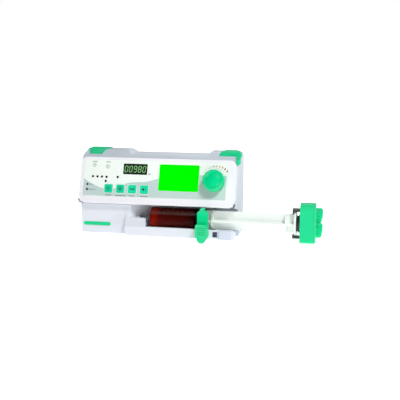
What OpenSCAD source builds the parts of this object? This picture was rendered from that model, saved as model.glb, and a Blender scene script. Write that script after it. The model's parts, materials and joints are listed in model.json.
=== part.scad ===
// Syringe infusion pump with a loaded 50 ml syringe.
// +X is the pusher end, -Y the operator's side, +Z up, z = 0 the surface it stands on.

/* [Case] */
// Width of the rear housing
housing_w = 221; // [216:1:226]
// Width of the white front bezel
bezel_w = 218; // [214:1:219]
// Height of the rubber feet
foot_h = 5; // [4:0.5:5]
// Wall thickness of the moulded shells
wall = 2.4; // [2:0.1:2.8]
// Height of the shoulders above the table
shoulder_z = 117; // [115:0.5:118]
// Height of the roof between the shoulders
roof_z = 111.6; // [110:0.2:113]
// Rear plane of the main housing
housing_back_y = 18; // [17:1:19]
// Rear plane of the back cover
cover_back_y = 56; // [54:1:58]

/* [Panel] */
// Lean of the operating panel from upright
lean = 19.4; // [18:0.2:21]
// Height of the panel along its slope
panel_h = 63.8; // [62:0.2:65]
// Front position of the panel's lower edge
panel_y = -54.4; // [-56:0.2:-54]
// Height of the panel's lower edge
panel_z = 48.6; // [48.6:0.1:49]
// Depth of the bezel's rim
bezel_t = 6; // [5:0.5:7]
// Side of a square key
key_side = 11.4; // [10:0.2:12]
// Travel of a key
key_travel = 0.6; // [0.4:0.1:0.7]
// Radius of the setting knob
knob_r = 14.8; // [13:0.2:16]
// Height of the setting knob
knob_h = 14; // [12:0.5:16]

/* [Syringe] */
// Height of the syringe's axis
syringe_z = 28.9; // [28.5:0.1:29]
// Front position of the syringe's axis
syringe_y = -41.9; // [-42:0.1:-41.5]
// Outer radius of the barrel
barrel_r = 15.3; // [15:0.1:15.4]
// Inner radius of the barrel
bore_r = 14.3; // [14:0.1:14.4]
// Length of the barrel from its shoulder to the flange
barrel_l = 92; // [91:1:94]
// Drawn length of liquid
liquid_l = 64.8; // [63:0.1:70]

/* [Drive] */
// Front position of the drive tube's axis
tube_y = -14; // [-14.5:0.1:-13.5]
// Height of the drive tube's axis
tube_z = 25; // [24.5:0.1:25.5]
// Outer radius of the drive tube
tube_r = 7; // [6.5:0.1:7]
// Front position of the lead screw's axis
screw_y = 12; // [11.5:0.1:12.5]
// Radius of the lead screw
screw_r = 4; // [3.5:0.1:4]
// Tooth module of the motor gears
gear_m = 0.6; // [0.5:0.1:0.6]
// Teeth on the motor pinion
pinion_teeth = 14; // [14:1:14]
// Teeth on the lead screw's gear
gear_teeth = 42; // [42:1:42]

/* [Pusher] */
// Left face of the pusher head
head_x = 196; // [195:1:198]
// Width of the pusher head along the travel
head_w = 20; // [18:1:22]
// Height of the pusher head's top
head_top = 57; // [55:1:58]

/* [Clamp] */
// Position of the barrel clamp along the syringe
clamp_x = 68; // [66:1:70]
// Height of the clamp rod
clamp_z = 9.5; // [9.4:0.1:9.6]
// Radius of the clamp rod
clamp_rod_r = 2.5; // [2.3:0.1:2.6]
// Radius of the pole that the rear clamp takes
pole_r = 12.5; // [12:0.1:13]

/* [Hidden] */
$fn = 64;
base_z = foot_h;
side_x = housing_w / 2;
shell_x = 106.5;
seat_r = barrel_r + 0.3;
barrel_x = -9.7;
flange_x = barrel_x + barrel_l - 2.3;
tray_left = -42;
tray_front = -56.8;
tray_lip = 18;
wall_front = -47.9;
wall_back = -24;
recess_back = -26.4;
recess_top = 48.8;
barrel_floor = 2.8;
liquid_x = barrel_x + barrel_floor + 0.1;
stopper_x = liquid_x + liquid_l + 0.05;
stopper_l = 11;
thumb_x = 188.3;
thumb_r = 16;
thumb_t = 2.5;
jaw_gap = thumb_r + 0.6;
// Thickness, depth of the lip and opening travel of each jaw
upper_jaw = [3.6, 3.5, 4];
lower_jaw = [2.8, 2.2, 2.4];
guide_z = 52;
centre_distance = gear_m * (pinion_teeth + gear_teeth) / 2;
pinion_z = tube_z + centre_distance;
chassis_left = -50;
chassis_right = 95;
carriage_x = 60;
carriage_l = 24;
front_t = 2.4;
board_n = -11;
pole_x = 20;
pole_y = 72;
lcd = [3.4, 19.5, 55.3, 36.5];
led = [-47.6, 40.8, 33.8, 14.8];
overlay = [-104, 8.8, 201.3, 51.7];
key_s = 20.3;
key_xs = [-66.8, -49.8, -33, -16.2];
knob_x = 80.3;
knob_s = 34.6;
dot_r = 1.6;
dots = [[-90.7, 36.6], [-84.1, 36.5], [-77.6, 36.4], [-71.1, 36.3], [-55, 36.5], [-71.7, 30.4],
    [-97.6, 25.3], [-97.6, 18.3]];
lamp_r = 3;
lamps = [[-89.2, 52.3], [-70.2, 50.7]];
feet_xy = [[-88, -18], [88, -18], [-88, 44], [88, 44]];
pole_knob_lobes = 5;
side_screw_s = 4;
cover_screws = [[-104.5, 20], [104.5, 20], [-104.5, 90], [104.5, 90]];
clamp_screws = [for (x = [-18, 18], z = [46, 74]) [pole_x + x, z]];
clutch_lobes = 4;

// ---------- outlines and placing ----------

function unit(v) = v / norm(v);
function turn(a) = a > 180 ? a - 360 : a < -180 ? a + 360 : a;
// Points of the fillet of radius r at corner p between the neighbours a and b
function corner(a, p, b, r, steps) = r == 0 ? [p] :
    let (
        u = unit(a - p),
        v = unit(b - p),
        half = acos(u * v) / 2,
        c = p + unit(u + v) * r / sin(half),
        s = p + u * r / tan(half) - c,
        e = p + v * r / tan(half) - c,
        start = atan2(s[1], s[0]),
        sweep = turn(atan2(e[1], e[0]) - start)
    ) [for (i = [0:steps]) c + r * [cos(start + sweep * i / steps), sin(start + sweep * i / steps)]];
function xy(p) = [p[0], p[1]];
// Outline through [x, y, fillet radius] corners
function rounded(pts, steps = 6) = [for (i = [0:len(pts) - 1])
    each corner(xy(pts[(i + len(pts) - 1) % len(pts)]), xy(pts[i]), xy(pts[(i + 1) % len(pts)]),
        pts[i][2], steps)];
function box_outline(x, y, w, h, r) =
    rounded([[x, y, r], [x + w, y, r], [x + w, y + h, r], [x, y + h, r]]);

// Extrudes a (y, z) outline from x0 to x1
module along_x(x0, x1) {
    translate([x0, 0, 0]) rotate([90, 0, 90]) linear_extrude(x1 - x0) children();
}
// Extrudes an (x, z) outline from y0 to y1
module along_y(y0, y1) {
    translate([0, y1, 0]) rotate([90, 0, 0]) linear_extrude(y1 - y0) children();
}
// Rod or bore along X
module rod_x(x0, x1, y, z, r) {
    translate([x0, y, z]) rotate([0, 90, 0]) cylinder(h = x1 - x0, r = r);
}
// Rod or bore along Y
module rod_y(y0, y1, x, z, r) {
    translate([x, y1, z]) rotate([90, 0, 0]) cylinder(h = y1 - y0, r = r);
}
module block(p0, p1) {
    translate(p0) cube(p1 - p0);
}
// Children are drawn in the panel's plane: x along it, y up its slope, z out of it
module on_panel() {
    translate([0, panel_y, panel_z]) rotate([90 - lean, 0, 0]) children();
}
module panel_slab(outline, n0, n1) {
    translate([0, 0, n0]) linear_extrude(n1 - n0) polygon(outline);
}
module panel_window(r, grow, corner_r, n0, n1) {
    panel_slab(box_outline(r[0] - grow, r[1] - grow, r[2] + 2 * grow, r[3] + 2 * grow, corner_r), n0, n1);
}
module key_slab(i, side, n0, n1) {
    panel_slab(box_outline(key_xs[i] - side / 2, key_s - side / 2, side, side, 1.2), n0, n1);
}
// Involute spur gear outline, flanks thinned for backlash
function involute(r, a) = r * [cos(a) + a * PI / 180 * sin(a), sin(a) - a * PI / 180 * cos(a)];
function spun(p, a) = [p[0] * cos(a) - p[1] * sin(a), p[0] * sin(a) + p[1] * cos(a)];
function flank(rb, r) = sqrt(max(0, pow(r / rb, 2) - 1)) * 180 / PI;
module gear_outline(m, teeth, backlash) {
    rp = m * teeth / 2;
    rb = rp * cos(20);
    ra = rp + 0.9 * m;
    rf = rp - 1.2 * m;
    at_pitch = involute(rb, flank(rb, rp));
    half = 90 / teeth - backlash / rp * 90 / PI + atan2(at_pitch[1], at_pitch[0]);
    steps = 4;
    tooth = [for (i = [0:steps]) involute(rb, flank(rb, rb + (ra - rb) * i / steps))];
    side = concat([[rf, 0]], tooth);
    one = concat([for (p = side) spun(p, -half)],
        [for (i = [len(side) - 1:-1:0]) spun([side[i][0], -side[i][1]], half)]);
    polygon([for (t = [0:teeth - 1]) each [for (p = one) spun(p, t * 360 / teeth)]]);
}

// ---------- operating panel ----------

module front_bezel() {
    rim = box_outline(-bezel_w / 2, 0, bezel_w, panel_h, 9);
    inner = box_outline(-bezel_w / 2 + wall, wall, bezel_w - 2 * wall, panel_h - 2 * wall, 7);
    color("white") on_panel() difference() {
        panel_slab(rim, -bezel_t, 0);
        panel_slab(inner, -bezel_t - 1, -front_t);
        panel_window(overlay, 0.15, 3, -0.5, 1);
        panel_window(lcd, -1, 1, -4, 1);
        panel_window(led, -1, 1, -4, 1);
        for (i = [0:3]) key_slab(i, key_side + 0.4, -4, 1);
        for (d = dots) translate([d[0], d[1], -4]) cylinder(h = 5, r = dot_r + 0.1);
        for (d = lamps) translate([d[0], d[1], -4]) cylinder(h = 5, r = lamp_r + 0.1);
        translate([knob_x, knob_s, -4]) cylinder(h = 5, r = 4.6);
        translate([-bezel_w / 2 - 1, side_screw_s, -3]) rotate([0, 90, 0])
            cylinder(h = bezel_w + 2, r = 1.05);
    }
}

module panel_overlay() {
    color([0.88, 0.93, 0.92]) on_panel() difference() {
        panel_window(overlay, 0, 3, -0.48, -0.08);
        panel_window(lcd, 0.1, 1, -1, 1);
        panel_window(led, 0.1, 1, -1, 1);
        for (i = [0:3]) key_slab(i, key_side + 0.3, -1, 1);
        for (d = dots) translate([d[0], d[1], -1]) cylinder(h = 2, r = dot_r + 0.1);
        for (d = lamps) translate([d[0], d[1], -1]) cylinder(h = 2, r = lamp_r + 0.1);
        translate([knob_x, knob_s, -1]) cylinder(h = 2, r = 4.6);
    }
}

module lcd_window() {
    color([0, 1, 0]) on_panel() {
        panel_window(lcd, 0, 1, -0.48, 0.02);
        panel_window(lcd, -1.2, 1, -1.6, -0.48);
    }
}

module led_window() {
    color([0.02, 0.08, 0.03]) on_panel() {
        panel_window(led, 0, 1, -0.48, 0.02);
        panel_window(led, -1.2, 1, -2, -0.48);
    }
}

module indicator_leds() {
    color([0.05, 0.05, 0.05]) on_panel() {
        for (d = dots) translate([d[0], d[1], -5]) lamp(dot_r);
        for (d = lamps) translate([d[0], d[1], -5]) lamp(lamp_r);
    }
}
// One round lamp: body, collar and a low dome
module lamp(r) {
    rotate_extrude() polygon(concat([[0, 0], [r + 0.6, 0], [r + 0.6, 1], [r, 1], [r, 5]],
        [for (a = [30:30:90]) [r * cos(a), 5 + 0.5 * sin(a)]]));
}

// Key cap with the hidden flange that keeps it behind the bezel
module key_cap(i) {
    color([0.08, 0.82, 0.6]) on_panel() {
        key_slab(i, key_side, -front_t - 0.2, key_travel);
        key_slab(i, key_side - 1.2, key_travel, key_travel + 0.3);
        key_slab(i, key_side + 2.4, -front_t - 1, -front_t - 0.2);
    }
}
module key_start() { key_cap(0); }
module key_stop() { key_cap(1); }
module key_fast() { key_cap(2); }
module key_mute() { key_cap(3); }

// Fluted knob with a domed cap and a bore for its shaft
module encoder_knob() {
    flutes = 12;
    crown = 2.4;
    skirt = [[3.02, 1], [knob_r - 1.6, 1], [knob_r, 2.6], [knob_r - 0.5, knob_h - 2.5],
        [knob_r - 2, knob_h - 0.6], [knob_r - 3.6, knob_h - 0.6]];
    dome = [for (t = [0:5]) let (f = 1 - t / 5) [(knob_r - 4.4) * f, knob_h - 1.4 + crown * (1 - f * f)]];
    color([0.05, 0.8, 0.58]) on_panel() translate([knob_x, knob_s, 0]) difference() {
        rotate_extrude() polygon(concat(skirt, dome, [[0, 9], [3.02, 9]]));
        for (i = [0:flutes - 1]) rotate(i * 360 / flutes)
            translate([knob_r + 1.5, 0, -1]) cylinder(h = knob_h + 4, r = 2.5);
    }
}

module encoder_shaft() {
    color("silver") on_panel() translate([knob_x, knob_s, -9]) cylinder(h = 18, r = 3);
}

module encoder_body() {
    color([0.25, 0.27, 0.3]) on_panel() translate([knob_x, knob_s, 0]) difference() {
        union() {
            translate([-7, -7, board_n + 0.1]) cube([14, 14, 7.4]);
            translate([0, 0, -4]) cylinder(h = 4.6, r = 4.5);
        }
        translate([0, 0, board_n + 1.5]) cylinder(h = 14, r = 3.05);
    }
}

module lcd_module() {
    color([0.2, 0.3, 0.22]) on_panel() {
        panel_window(lcd, 2, 1, -7.5, -2.5);
        panel_window(lcd, 4.5, 1, -9, -7.5);
    }
}

module display_board() {
    color([0.05, 0.35, 0.2]) on_panel() {
        difference() {
            panel_window([-100, 8, 198, 50], 0, 2, board_n - 1.6, board_n);
            for (x = [-96, 94], s = [12, 54]) translate([x, s, board_n - 3]) cylinder(h = 4, r = 1.6);
        }
        // Key switches
        for (i = [0:3]) translate([key_xs[i], key_s, board_n]) {
            translate([-3, -3, 0]) cube([6, 6, 3.5]);
            cylinder(h = 6.4, r = 1.7);
        }
        // Digit block behind the dark window
        panel_window(led, -2, 0.5, board_n, -2.6);
        // Connector and chips on the rear side
        for (x = [-80, -50, 10, 40]) translate([x, 26, board_n - 4.4]) cube([16, 10, 2.8]);
    }
}

// ---------- case ----------

// Outline of the housing from the front, with its two raised shoulders
function housing_front(g) = rounded([[-side_x - g, base_z - g, 0], [side_x + g, base_z - g, 0],
    [side_x + g, shoulder_z + g, 7], [69, shoulder_z + g, 3], [64.6, roof_z + g, 3],
    [-42, roof_z + g, 3], [-49, shoulder_z + g, 3], [-side_x - g, shoulder_z + g, 7]]);
// Point (y, z) just behind the bezel's rim, s up the panel's slope
function behind_bezel(s) = [panel_y + s * sin(lean) + (bezel_t + 0.1) * cos(lean),
    panel_z + s * cos(lean) - (bezel_t + 0.1) * sin(lean)];
// Outline of the housing from the side
function housing_side(g) = rounded([[-28 - g, base_z - g, 0], [housing_back_y + g, base_z - g, 0],
    [housing_back_y + g, shoulder_z + g, 7], [-10, shoulder_z - 0.6 + g, 8],
    concat(behind_bezel(panel_h + 1) + [-1.2, 1] * g, 0), concat(behind_bezel(0) - [1.2, 1] * g, 0),
    [-42 - g, panel_z - 3 - g, 2],
    [-28 - g, 30 - g, 6]]);
module housing_form(g) {
    intersection() {
        along_x(-side_x - g, side_x + g) polygon(housing_side(g));
        along_y(-60, 60) polygon(housing_front(g));
    }
}

module upper_housing() {
    color([0.78, 0.81, 0.85]) difference() {
        housing_form(0);
        // Inside, open to the front and below
        intersection() {
            along_x(-side_x + wall, side_x - wall) polygon([[-60, -1], [housing_back_y - wall, -1],
                [housing_back_y - wall, 98], [housing_back_y - 8, 108.6], [-14, 108.6], [-24, 104.2],
                [-60, 98]]);
            block([-side_x + wall, -60, -1], [side_x - wall, 60, 109]);
        }
        // Window to the rear bay
        block([-100, 10, -1], [100, 30, 96]);
        // Bore for the drive tube, and the seat of its seal
        rod_x(side_x - 5, side_x + 1, tube_y, tube_z, 9.6);
        // Screw holes to the back cover
        for (p = cover_screws) rod_y(10, 20, p[0], p[1], 1.7);
        // Way out for the syringe's plunger
        rod_x(100, 120, syringe_y, syringe_z, seat_r);
    }
}

// Plan outline of the syringe bay above the trough
bay_plan = rounded([[-38, -62, 0], [114, -62, 0], [114, recess_back, 0], [-12.6, recess_back, 3],
    [-38, -51, 4]]);
trough_left = -12.6;

module front_cradle() {
    shell = [[wall_front, base_z], [wall_back, base_z], [wall_back, 50.8], [-46.4, 50.8], [-46.4, 46],
        [wall_front, 46]];
    tray = rounded([[tray_front, base_z, 1], [-46, base_z, 0], [-46, 34, 0], [wall_front, 34, 0],
        [tray_front, tray_lip, 2.5]]);
    color([0.83, 0.85, 0.89]) difference() {
        union() {
            along_x(-shell_x, shell_x) polygon(shell);
            along_x(tray_left, shell_x) polygon(tray);
        }
        // Syringe bay with a slanted left end, trough, and a channel for the syringe's tip
        translate([0, 0, syringe_z]) linear_extrude(recess_top - syringe_z) polygon(bay_plan);
        rod_x(trough_left, 120, syringe_y, syringe_z, seat_r);
        rod_x(-24, trough_left + 1, syringe_y, syringe_z, 6.4);
        block([trough_left, -62, tray_lip], [120, syringe_y, 30]);
        // Groove for the barrel's flange
        intersection() {
            rod_x(flange_x - 0.6, flange_x + 3, syringe_y, syringe_z, 18.1);
            block([0, syringe_y - 16.4, 0], [200, syringe_y + 15.4, 60]);
        }
        // Hollow behind the left wall
        block([-shell_x + wall, wall_front + wall, base_z - 1], [tray_left - 4, 0, 44]);
        // Hollows under the trough, either side of the clamp's guide
        block([tray_left + wall, tray_front + wall, base_z - 1], [clamp_x - 10, 0, 8.6]);
        block([clamp_x + 10, tray_front + wall, base_z - 1], [shell_x - wall, 0, 8.6]);
        // Guide bore of the clamp rod
        rod_y(-60, -20, clamp_x, clamp_z, clamp_rod_r + 0.05);
        // Pocket of the flange sensor
        block([80.3, -60, 8], [86.7, -53.8, 15.5]);
    }
}

module cradle_end_cap() {
    plan = rounded([[88.2, tray_front - 0.05, 0], [88.2, -59.4, 1.6], [108.6, -59.4, 4],
        [108.6, -29, 0], [shell_x + 0.05, -29, 0], [shell_x + 0.05, tray_front - 0.05, 0]]);
    color([0.8, 0.81, 0.88]) difference() {
        translate([0, 0, base_z + 0.4]) linear_extrude(tray_lip - base_z - 0.4) polygon(plan);
        rod_x(100, 120, syringe_y, syringe_z, seat_r);
    }
}

module flange_sensor() {
    color([0.12, 0.14, 0.4]) difference() {
        block([80.4, -56.6, 8.1], [86.6, -53.9, 15.4]);
        block([81.4, -60, 9.1], [85.6, -54.9, 14.4]);
    }
}

module badge() {
    color([0.05, 0.6, 0.4]) along_y(wall_front - 0.6, wall_front - 0.02)
        polygon(box_outline(-103.5, 15.5, 39, 5, 2.4));
}

// Rear bay, tapered in plan and in height
function bay_outline(g) = rounded([[-109.6 - g, housing_back_y, 0], [-103 - g, cover_back_y + g, 9],
    [103 + g, cover_back_y + g, 9], [109.6 + g, housing_back_y, 0]]);
function bay_profile(g) = rounded([[housing_back_y, base_z, 0], [cover_back_y + g, base_z, 2],
    [cover_back_y + g, 98 + g, 10], [housing_back_y, 108 + g, 0]]);

module back_cover() {
    color([0.74, 0.77, 0.81]) difference() {
        union() {
            difference() {
                intersection() {
                    translate([0, 0, base_z]) linear_extrude(120) polygon(bay_outline(0));
                    along_x(-120, 120) polygon(bay_profile(0));
                }
                intersection() {
                    translate([0, 0, base_z - 1]) linear_extrude(120) polygon(bay_outline(-wall));
                    along_x(-120, 120) polygon([[0, 0], [cover_back_y - wall, 0], [cover_back_y - wall, 88],
                        [cover_back_y - 8, 94], [0, 104]]);
                }
            }
            // Screw bosses and the raised rim round the rocker switch
            for (p = cover_screws) rod_y(housing_back_y, housing_back_y + 10, p[0], p[1], 3);
            along_y(cover_back_y - 1, cover_back_y + 1.2) polygon(box_outline(-57, 12.2, 17, 23.6, 2));
        }
        // Mains inlet, rocker switch and data port
        block([-91, 50, 14], [-63, 60, 35]);
        block([-55.2, 50, 14], [-41.8, 60, 34]);
        block([62.5, 50, 18], [89.5, 60, 30.5]);
        // Louvres
        for (i = [0:9]) block([62 + i * 3.4, 50, 48], [63.6 + i * 3.4, 60, 78]);
        // Sound holes over the loudspeaker
        for (a = [0:5]) rod_y(50, 60, -78 + 6.5 * cos(a * 60), 74 + 6.5 * sin(a * 60), 1.3);
        rod_y(50, 60, -78, 74, 1.3);
        // Holes for the pole clamp's screws
        for (p = clamp_screws) rod_y(50, 60, p[0], p[1], 1.7);
        // Screw holes in the bosses
        for (p = cover_screws) rod_y(10, 26, p[0], p[1], 1.6);
    }
}

module bottom_plate() {
    color([0.7, 0.72, 0.76]) difference() {
        union() {
            block([-104, wall_back + 0.2, base_z], [104, housing_back_y - wall - 0.2, base_z + 2.2]);
            block([-91, housing_back_y - wall - 0.2, base_z], [91, cover_back_y - wall - 0.4, base_z + 2.2]);
            block([-shell_x + wall + 0.2, wall_front + wall + 0.2, base_z],
                [tray_left - 4.2, wall_back + 0.2, base_z + 2.2]);
            // Blister under the clamp's spring
            block([clamp_x - 6.5, wall_back + 0.2, base_z - 1.6], [clamp_x + 6.5, 9, base_z]);
        }
        block([clamp_x - 5, wall_back, base_z - 0.4], [clamp_x + 5, 7.5, base_z + 3]);
        for (p = feet_xy) translate([p[0], p[1], base_z - 1]) cylinder(h = 5, r = 1.6);
    }
}

// Corner guard that wraps a shoulder: a slanted band on top and a leg down the side
module corner_cap(plan, x0, x1) {
    color([0.0, 0.82, 0.55]) intersection() {
        difference() {
            housing_form(1.3);
            housing_form(0.02);
            block([x0, -17, 90], [x1, 30, 111]);
        }
        translate([0, 0, 103]) linear_extrude(30) polygon(plan);
    }
}
module corner_cap_left() {
    corner_cap([[-114, -4], [-106, -6], [-102, -20], [-84, -20], [-78, 9], [-114, 9]], -114, -109);
}
module corner_cap_right() {
    corner_cap([[82, -18], [87, 9], [102, 9], [114, -9], [114, -31], [107.8, -31], [105.5, -18]], 109, 114);
}

module feet() {
    color([0.15, 0.15, 0.16]) for (p = feet_xy) translate([p[0], p[1], 0]) {
        rotate_extrude() polygon([[0, 0], [7, 0], [8, 1], [7.2, base_z], [0, base_z]]);
        translate([0, 0, base_z]) cylinder(h = 3.4, r = 1.5);
    }
}

module case_screws() {
    color([0.3, 0.31, 0.33]) {
        for (p = cover_screws) screw_y(p[0], p[1], housing_back_y - wall - 0.02);
        for (p = clamp_screws) screw_y(p[0], p[1], cover_back_y - wall - 0.02);
        for (m = [0, 1]) mirror([m, 0, 0]) on_panel() translate([0, side_screw_s, -3]) rotate([0, 90, 0]) {
            translate([0, 0, bezel_w / 2 - 4]) cylinder(h = 4, r = 1);
            translate([0, 0, bezel_w / 2]) cylinder(h = 0.7, r = 1.8);
        }
    }
}
// Pan-head screw along Y with a slotted head below y1
module screw_y(x, z, y1) {
    difference() {
        union() {
            rod_y(y1 - 2, y1, x, z, 2.8);
            rod_y(y1 - 1, y1 + 8, x, z, 1.55);
        }
        block([x - 0.4, y1 - 3, z - 2], [x + 0.4, y1 - 1.2, z + 2]);
    }
}

// ---------- drive ----------

module drive_chassis() {
    color([0.62, 0.64, 0.67]) difference() {
        union() {
            for (x = [chassis_left, chassis_right]) block([x, -22.5, 7.4], [x + 2.5, 24, 64]);
            block([chassis_left, 16, 7.4], [chassis_right + 2.5, 24, 9.4]);
        }
        rod_x(-60, 120, screw_y, tube_z, 5.5);
        rod_x(-60, 120, screw_y, guide_z, 4.02);
        rod_x(chassis_left - 5, chassis_left + 5, screw_y, pinion_z, 6);
        rod_x(chassis_right - 5, chassis_right + 5, tube_y, tube_z, tube_r + 0.05);
    }
}

// Motor frame with its boss, and the slots of its end bells
module stepper_motor() {
    x0 = chassis_left - 41;
    x1 = chassis_left - 0.05;
    y0 = screw_y - 21;
    z0 = pinion_z - 21;
    color([0.2, 0.2, 0.22]) difference() {
        union() {
            along_x(x0, x1) polygon(box_outline(y0, z0, 42, 42, 4));
            rod_x(x1 - 1, x1 + 2, screw_y, pinion_z, 5.9);
        }
        for (x = [x0 + 9, x1 - 9]) difference() {
            block([x - 0.6, y0 - 1, z0 - 1], [x + 0.6, y0 + 43, z0 + 43]);
            along_x(x - 1, x + 1) polygon(box_outline(y0 + 0.8, z0 + 0.8, 40.4, 40.4, 4));
        }
        rod_x(x1 - 12, x1 + 5, screw_y, pinion_z, 2.55);
    }
}

module motor_pinion() {
    color([0.72, 0.6, 0.3]) {
        translate([chassis_left + 4.5, screw_y, pinion_z]) rotate([90, 0, 90])
            rotate(-90 + 180 / pinion_teeth) linear_extrude(6) gear_outline(gear_m, pinion_teeth, 0.12);
        rod_x(chassis_left - 9, chassis_left + 4.5, screw_y, pinion_z, 2.5);
    }
}

module screw_gear() {
    color([0.75, 0.73, 0.66]) translate([chassis_left + 4.5, screw_y, tube_z]) rotate([90, 0, 90])
        rotate(90) linear_extrude(6) difference() {
            gear_outline(gear_m, gear_teeth, 0.12);
            circle(r = 3);
            for (i = [0:4]) rotate(i * 72 + 36) translate([7.2, 0]) circle(r = 2);
        }
}

// Threaded between the walls, plain where it runs in its bearings
module lead_screw() {
    pitch = 4;
    x0 = chassis_left + 12;
    turns = 32;
    crest = [for (i = [0:turns - 1]) each [[screw_r - 0.6, i * pitch + 0.4], [screw_r, i * pitch + 1.4],
        [screw_r, i * pitch + 2.6], [screw_r - 0.6, i * pitch + 3.6]]];
    color([0.75, 0.76, 0.78]) {
        translate([x0, screw_y, tube_z]) rotate([0, 90, 0]) rotate_extrude()
            polygon(concat([[0, 0]], crest, [[0, turns * pitch]]));
        rod_x(chassis_left, x0 + 1, screw_y, tube_z, 3);
        rod_x(x0 + turns * pitch - 1, chassis_right + 4, screw_y, tube_z, 3);
    }
}

module guide_rod() {
    color([0.8, 0.81, 0.83]) rod_x(chassis_left, chassis_right + 4, screw_y, guide_z, 4);
}

module screw_bearings() {
    color([0.66, 0.67, 0.7]) for (x = [chassis_left, chassis_right - 1]) difference() {
        rod_x(x, x + 4, screw_y, tube_z, 5.5);
        rod_x(x - 1, x + 5, screw_y, tube_z, 3.05);
    }
}

module carriage() {
    x1 = carriage_x + carriage_l;
    outline = rounded([[-22.6, 15, 3], [21.8, 15, 3], [21.8, 59, 3], [2, 59, 3], [-2, 36, 3],
        [-22.6, 36, 3]]);
    color([0.85, 0.84, 0.78]) difference() {
        along_x(carriage_x, x1) polygon(outline);
        rod_x(carriage_x - 1, x1 + 1, screw_y, tube_z, 4.6);
        rod_x(carriage_x - 1, x1 + 1, screw_y, guide_z, 4.05);
        rod_x(x1 - 14, x1 + 1, tube_y, tube_z, tube_r);
        rod_x(carriage_x - 1, x1, tube_y, tube_z, 3.05);
        block([carriage_x + 4, screw_y + 0.1, 17], [x1 - 4, 30, 33]);
    }
}

module half_nut() {
    color([0.8, 0.65, 0.32]) difference() {
        block([carriage_x + 4.2, screw_y + 0.3, 17.2], [carriage_x + carriage_l - 4.2, screw_y + 8, 32.8]);
        rod_x(carriage_x, carriage_x + carriage_l, screw_y, tube_z, screw_r + 0.08);
    }
}

module drive_tube() {
    color([0.82, 0.83, 0.85]) difference() {
        rod_x(carriage_x + carriage_l - 14, head_x + 8, tube_y, tube_z, tube_r);
        rod_x(0, 300, tube_y, tube_z, tube_r - 1.2);
    }
}

// Wiper ring in the side wall
module tube_seal() {
    color([0.1, 0.1, 0.11]) difference() {
        union() {
            rod_x(side_x - wall - 1.4, side_x, tube_y, tube_z, 9.6);
            rod_x(side_x, side_x + 1.2, tube_y, tube_z, 11);
        }
        rod_x(90, 130, tube_y, tube_z, tube_r + 0.1);
    }
}

module clutch_rod() {
    color([0.7, 0.71, 0.73]) rod_x(carriage_x + 1, head_x + 20, tube_y, tube_z, 3);
}

// Lobed hand knob that opens the jaws and frees the half nut
module clutch_knob() {
    x0 = head_x + 12.6;
    hub_r = 15.5;
    lobe_r = 8;
    color([0.0, 0.78, 0.52]) translate([x0, tube_y, tube_z]) rotate([0, 90, 0]) difference() {
        union() {
            translate([0, 0, 2.5]) cylinder(h = 9.5, r = hub_r);
            for (i = [0:clutch_lobes - 1]) rotate((i + 0.5) * 360 / clutch_lobes) translate([14.5, 0, 1.5]) {
                cylinder(h = 11, r = lobe_r);
                translate([0, 0, 11]) cylinder(h = 2, r1 = lobe_r, r2 = lobe_r - 2.5);
            }
            cylinder(h = 4, r = 6.2);
        }
        translate([0, 0, -1]) cylinder(h = 8.4, r = 3);
        translate([0, 0, 10.8]) cylinder(h = 3, r = 5);
    }
}

// ---------- pusher head ----------

module head_outline(g) {
    polygon(rounded([[-60 + g, 5.6 + g, 5 - g], [-38 - g, 5.6 + g, 3 - g], [-38 - g, head_top - g, 3 - g],
        [-60 + g, head_top - g, 10 - g]]));
}
module lobe_outline(g) {
    polygon(rounded([[-40, 10 + g, 0], [-1 - g, 10 + g, 13 - g], [-1 - g, 40 - g, 13 - g],
        [-40, 40 - g, 0]]));
}

module head_body() {
    x1 = head_x + head_w - 2;
    color([0.0, 0.8, 0.53]) difference() {
        union() {
            along_x(head_x, x1) head_outline(0);
            along_x(head_x, head_x + 12) lobe_outline(0);
        }
        along_x(head_x + 2.4, x1 + 1) head_outline(wall);
        rod_x(head_x - 1, head_x + 8, tube_y, tube_z, tube_r);
        rod_x(head_x - 1, head_x + 20, tube_y, tube_z, 3.05);
        // Slots for the jaws' stems
        jaw_slot(syringe_z + jaw_gap - 0.3, syringe_z + jaw_gap + upper_jaw[0] + upper_jaw[2] + 0.3);
        jaw_slot(syringe_z - jaw_gap - lower_jaw[0] - lower_jaw[2] - 0.2, syringe_z - jaw_gap + 0.3);
        for (z = [12, 50]) rod_x(x1 - 6, x1 + 1, -42.2, z, 1);
    }
}

module head_cover() {
    x0 = head_x + head_w - 1.95;
    color([0.0, 0.76, 0.5]) difference() {
        along_x(x0, x0 + 1.95) head_outline(0);
        for (z = [12, 50]) rod_x(x0 + 0.9, x0 + 3, -42.2, z, 1.8);
    }
}

// Buffer that presses on the thumb rest
module pressure_plate() {
    color([0.2, 0.21, 0.23]) {
        rod_x(thumb_x + thumb_t + 0.4, head_x - 0.05, -43.4, syringe_z, 10.5);
        rod_x(head_x - 2.4, head_x - 0.05, -43.4, syringe_z, 12);
    }
}

module jaw_slot(z0, z1) {
    block([head_x - 1, syringe_y - 7, z0], [head_x + 4, syringe_y + 3.1, z1]);
}
// Hooked jaw: stem into the head, finger over the thumb rest, lip in front of it
module jaw(size) {
    color([0.08, 0.08, 0.09]) {
        block([thumb_x - 2.8, -6.5, jaw_gap], [head_x + 2, 2.6, jaw_gap + size[0]]);
        block([thumb_x - 2.8, -6.5, jaw_gap - size[1]], [thumb_x - 0.4, 2.6, jaw_gap + 1]);
    }
}
module jaw_upper() {
    translate([0, syringe_y, syringe_z]) jaw(upper_jaw);
}
module jaw_lower() {
    translate([0, syringe_y, syringe_z]) mirror([0, 0, 1]) jaw(lower_jaw);
}

// ---------- barrel clamp ----------

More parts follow.
